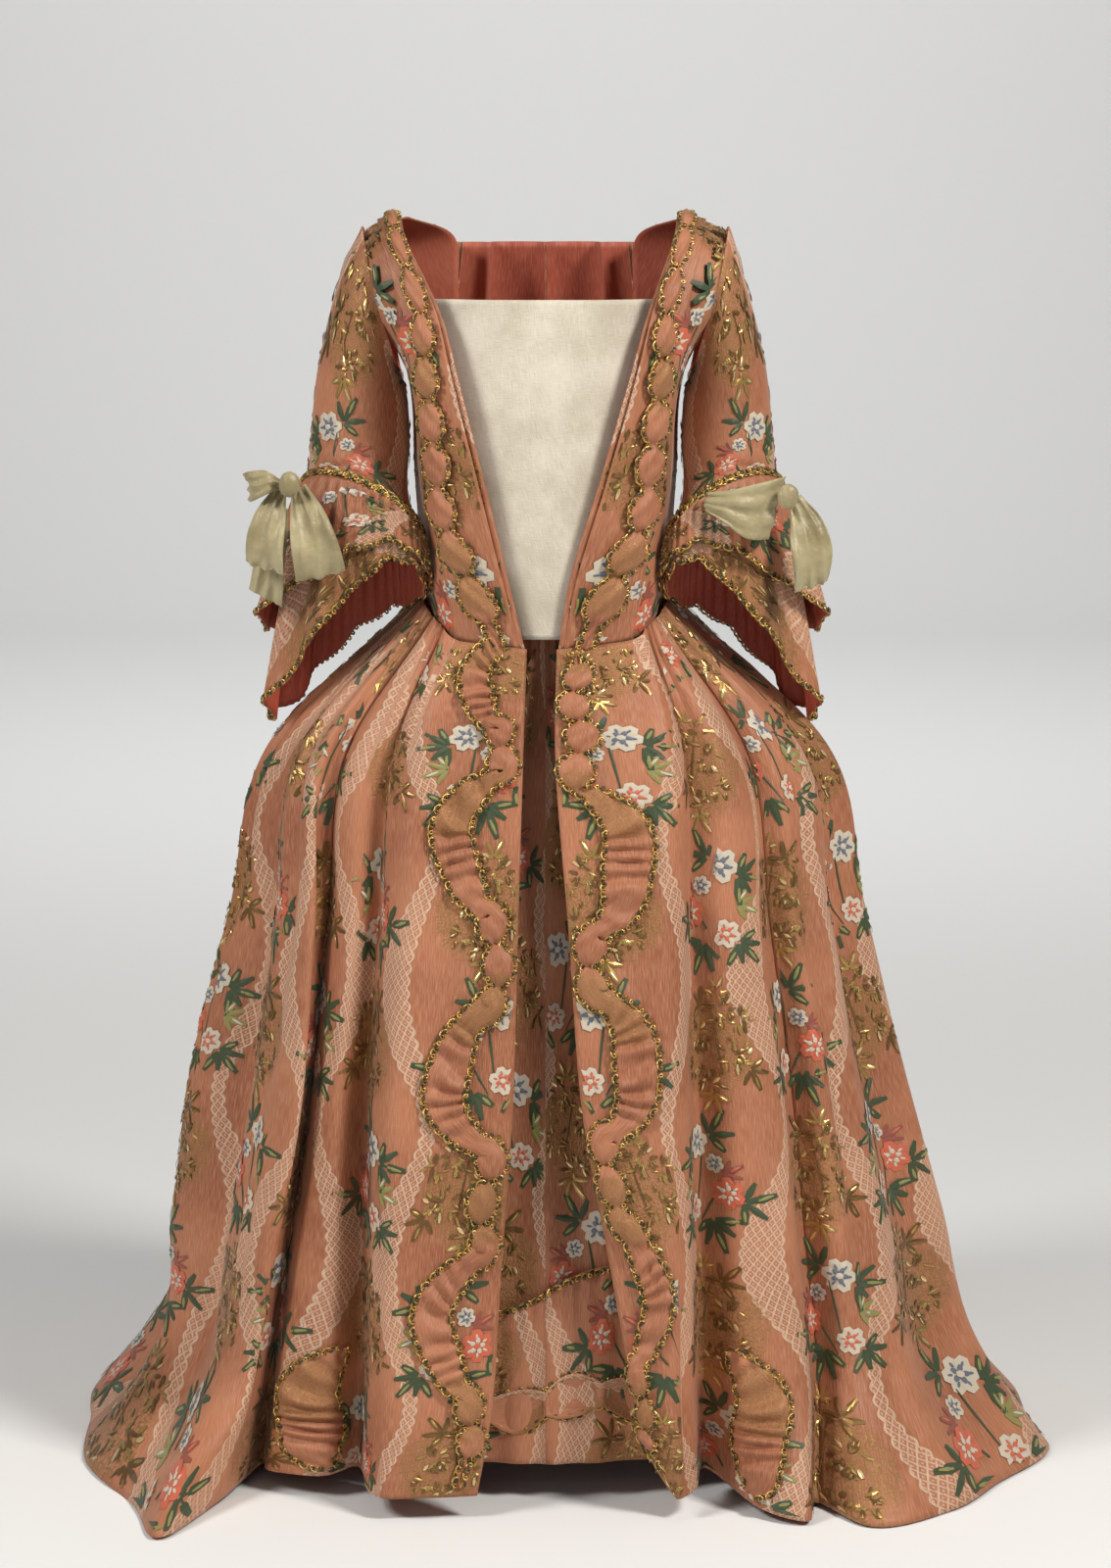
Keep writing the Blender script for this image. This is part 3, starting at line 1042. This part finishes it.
for name, side in SIDES.items():
    for piece, bends in BOWS[name].items():
        middle, half = np.array(bends).swapaxes(0, 1)
        ribbon = Ribbon([middle - half, middle, middle + half], side, 2)
        made = woven(f"ribbon_{piece}_{name}", ribbon, steps(ribbon.across, 0.002), steps(ribbon.down, 0.003),
                     f"bow_{piece}_{name}", RIBBON, None, wall=0.0008)
        flat, area = cut(ribbon)
    bm = bmesh.new()
    bmesh.ops.create_uvsphere(bm, u_segments=28, v_segments=18, radius=1)
    for vertex in bm.verts:
        turn = math.atan2(vertex.co.y, vertex.co.x)
        vertex.co *= 1 + 0.07 * math.sin(9 * turn + 3 * vertex.co.z) * (1 - vertex.co.z**2)
    bmesh.ops.scale(bm, vec=KNOT_SIZE, verts=bm.verts)
    bmesh.ops.translate(bm, vec=np.multiply(KNOTS[name], (side, 1, 1)), verts=bm.verts)
    placed(meshed(f"ribbon_knot_{name}", bm, smooth=True), f"bow_knot_{name}", [RIBBON])

# ------------------------------------------------------------------ Petticoat
# A closed skirt of the same silk is gathered to a waistband over the side hoops. It carries a flounce at
# its hem, gathered under a line of braid that rises and falls.
Hoop = namedtuple("Hoop", "name z half front back")
PETTICOAT = [
    Hoop("band", -.416, .11, .092, .08),
    Hoop("waist", -.44, .116, .095, .082),
    Hoop("hip", -.56, .228, .118, .124),
    Hoop("thigh", -.72, .27, .15, .16),
    Hoop("knee", -.95, .308, .19, .198),
    Hoop("ankle", -1.270, .332, .226, .24),
    Hoop("hem", -1.336, .336, .233, .248),
]
SQUARING = 1.16  # power that draws the sections towards a diamond, clear of the gown's recesses
HEM = PETTICOAT[-1].z
HEM_OUT = 0.0050
FLOUNCE_TOP, TOP_RISE, TOP_WAVES = -1.150, 0.026, 5  # its upper edge rises and falls round the skirt


def petticoat_point(angle, z, out=0.0):
    """A point on the petticoat, angle radians round from the centre front, at height z."""
    keys = [-hoop.z for hoop in PETTICOAT]
    half, front, back = (curve(keys, [hoop[k] for hoop in PETTICOAT], -z) + out for k in (2, 3, 4))
    sine, cosine = np.sin(angle), np.cos(angle)
    x = half * np.sign(sine) * np.abs(sine) ** SQUARING
    y = np.where(cosine > 0, -front, back) * np.abs(cosine) ** SQUARING
    return np.stack([x, y, z], axis=1)


class Petticoat(Tube):
    """u is the angle round from the centre front, and v the depth below the waist."""

    side = -1
    shift = (0.060, 0.09)
    girth = 0.270
    waist = -0.4405

    def on(self, u, v):
        return petticoat_point(u, self.waist - v)

    def lift(self, u, v):
        """Gathers at the waist, and long soft folds down to the hem."""
        gathers = 0.0022 * np.sin(58 * u + 2.2 * np.sin(7 * u)) * np.exp(-v / 0.10)
        folds = 0.0034 * np.sin(17 * u + 1.4 * np.sin(3 * u) + 2.5 * v) * np.clip(v / 0.25, 0, 1)
        return gathers + folds - 0.0034


class Band(Petticoat):
    waist = -0.420

    def lift(self, u, v):
        return np.zeros(len(u))


class Hem(Petticoat):
    """The hem flounce: v is the share of its depth."""

    shift = (0.090, 0.06)
    girth, deep = 1.22 * Petticoat.girth, 0.186

    def on(self, u, v):
        top = FLOUNCE_TOP + TOP_RISE * np.sin(TOP_WAVES * u)
        return petticoat_point(u, top + (HEM - 0.002 - top) * v, HEM_OUT)

    def lift(self, u, v):
        """Small gathers under the top edge that run out into uneven waves."""
        gathers = 0.0018 * np.sin(95 * u + 3 * np.sin(9 * u)) * np.exp(-v / 0.30)
        return gathers + 0.0030 * np.sin(31 * u + 1.8 * np.sin(4 * u)) * v


petticoat, hem = Petticoat(), Hem()
down = np.linspace(0, petticoat.waist - HEM, 80)
made = woven("silk_petticoat", petticoat, np.linspace(0, -TURN, 231), down, "petticoat", tube=True)
low = petticoat.waist - FLOUNCE_TOP + 0.01
brocade("brocade_petticoat", petticoat, (0, TURN * petticoat.girth), (0.01, low))
made = woven("silk_petticoat_band", Band(), np.linspace(0, -TURN, 121), np.linspace(0, 0.020, 5),
             "petticoat_band", finish=REVERSE, inside=None, tube=True)
made = woven("silk_petticoat_flounce", hem, np.linspace(0, -TURN, 321), np.linspace(0, 1, 26),
             "petticoat_flounce", tube=True)
brocade("brocade_petticoat_flounce", hem, (0, TURN * hem.girth), (0.004, hem.deep))
braid("braid_petticoat_flounce", hem.line(np.linspace(0, -TURN, 361), 0.02, 0.0014))

# ------------------------------------------------------------------ Serpentine trim
# Bands of the gown's silk are gathered into puffs and edged on both sides with looped metal braid. Ovals
# run up each front edge, and between them ruched crescents swing out over the panel.
TRIM_OUT, TRIM_WALL = 0.0035, 0.0010
PUFF = 0.0090
Winding = namedtuple("Winding", "inner swing half crescents ovals")
WINDINGS = {
    "right": Winding(0.024, 0.050, 0.018, (0.045, 0.255, 0.505, 0.765), (0.125, 0.168, 0.338, 0.384, 0.428,
                                                                           0.590, 0.636, 0.682, 0.852, 0.896)),
    "left": Winding(0.022, 0.042, 0.018, (0.275, 0.490, 0.730), (0.040, 0.086, 0.132, 0.178, 0.362, 0.408,
                                                                  0.572, 0.618, 0.660, 0.816, 0.862, 0.906)),
}
CRESCENT, OVAL = 0.150, 0.043  # lengths of a crescent and an oval down the front
CRESCENT_HALF, LEAST_HALF = 0.023, 0.006
BODICE_LINE = (
    (0.00, 0.018), (0.10, 0.020), (0.20, 0.030), (0.30, 0.039), (0.37, 0.043), (0.42, 0.034), (0.48, 0.022)
)  # distance below the shoulder seam, and from the front edge to the middle of the bodice's trim


class Trim(Cloth):
    """Puffed trim on another cloth: u runs from -1 to 1 across the band, and v is metres down the cloth."""

    step = 0.001

    def __init__(self, base, winding, out=0.0, line=None):
        self.base, self.side, self.winding, self.out, self.line_table = base, base.side, winding, out, line

    def puffs(self, v):
        """How far inside a crescent or an oval v lies: 1 at its middle and 0 at its end."""
        crescent, oval = np.zeros(len(v)), np.zeros(len(v))
        for places, length, shape in (
            (self.winding.crescents, CRESCENT, crescent), (self.winding.ovals, OVAL, oval),
        ):
            for place in places:
                turn = np.clip(np.abs(v - place) / (length / 2), 0, 1)
                np.maximum(shape, np.sqrt(1 - turn**2), out=shape)
        return crescent, oval

    def middle(self, v):
        """How far from the front edge the band's middle lies."""
        if self.line_table:
            return curve(*zip(*self.line_table), v)
        swing = np.zeros(len(v))
        for place in self.winding.crescents:
            turn = np.clip((v - place) / CRESCENT, -0.5, 0.5)
            swing += np.abs(np.cos(np.pi * turn)) ** 0.7
        sway = 0.004 * np.sin(v * 61)
        return self.winding.inner + sway + self.winding.swing * np.minimum(swing, 1)

    def on(self, u, v):
        crescent, oval = self.puffs(v)
        half = np.maximum(LEAST_HALF, np.maximum(CRESCENT_HALF * crescent**0.8, self.winding.half * oval))
        slope = (self.middle(v + 0.001) - self.middle(v - 0.001)) / 0.002
        lean = 1 / np.sqrt(1 + slope**2)
        reach = half * u
        places = self.base.places(self.middle(v) + reach * lean, v - reach * lean * slope)
        return self.base.at(*places, TRIM_OUT + at_place(self.out, places[1]))

    def lift(self, u, v):
        crescent, oval = self.puffs(v)
        dome = np.sqrt(np.clip(1 - u**2, 0, 1))
        ruche = 0.45 + 0.55 * np.sin(v * 330 + 2.6 * np.sin(v * 70) + 1.4 * u)
        return PUFF * dome * np.maximum(oval**0.8, 0.95 * ruche * crescent) + 0.0010 * np.sin(240 * v + 5 * u)

    def chart(self, u, v):
        """The band is cut along the cloth and gathered, so its figure is drawn up."""
        return 0.030 * u, 1.4 * v


class Garland(Cloth):
    """The petticoat's trim: u runs from 1 to -1 up the band, and v is the angle round the hem."""

    side, step = -1, 0.001
    MIDDLE, HALF, SWING, WIND = -1.272, 0.026, 0.010, 9

    def on(self, u, v):
        narrow = 0.50 + 0.42 * np.abs(np.sin(1.5 * self.WIND * v))
        height = self.MIDDLE + self.SWING * np.sin(self.WIND * v) + self.HALF * u * narrow
        return petticoat_point(v, height, HEM_OUT + TRIM_OUT)

    def lift(self, u, v):
        return 0.0065 * np.sqrt(np.clip(1 - u**2, 0, 1)) * np.abs(np.sin(1.5 * self.WIND * v)) ** 0.6

    def chart(self, u, v):
        return 0.05 + 0.030 * u, -0.4 * v


def trimmed(name, trim, across, down, edges):
    """A band of trim with braid along both of its edges."""
    made = woven(f"silk_{name}", trim, across, down, name, inside=None, wall=TRIM_WALL)
    for edge, share in edges:
        braid(f"braid_{name}_{edge}", trim.line(share, down, 0.0012))


for name, side in SIDES.items():
    skirt, upper = SKIRT[name], BODICE[name]
    line = Winding(0, 0, 0.0150, (), np.arange(0.030, upper.down[-1], OVAL + 0.004))
    low, high = skirt.down[-1] - 0.012, skirt.down[-1] - 0.165
    bow = Winding(skirt.across[HEM_FOLD] - 0.010, 0.020, 0.014, ((low + high) / 2,), ())
    for piece, trim, top, bottom, rows, flat in (
        ("skirt_trim", Trim(skirt, WINDINGS[name]), -0.002, low, 330, (0.040, 1.15)),
        ("bodice_trim", Trim(upper, line, robing_out, BODICE_LINE), 0.008, upper.down[-1] + 0.002, 160,
         (0.028, 0.52)),
        ("hem_trim", Trim(skirt, bow), high, low, 70, (0.050, 0.20)),
    ):
        trimmed(f"{piece}_{name}", trim, np.linspace(-1, 1, 14), np.linspace(top, bottom, rows),
                (("inner", -0.96), ("outer", 0.96)))
trimmed("petticoat_trim", Garland(), np.linspace(1, -1, 12), np.linspace(0, -TURN, 541),
        (("upper", 0.96), ("lower", -0.96)))
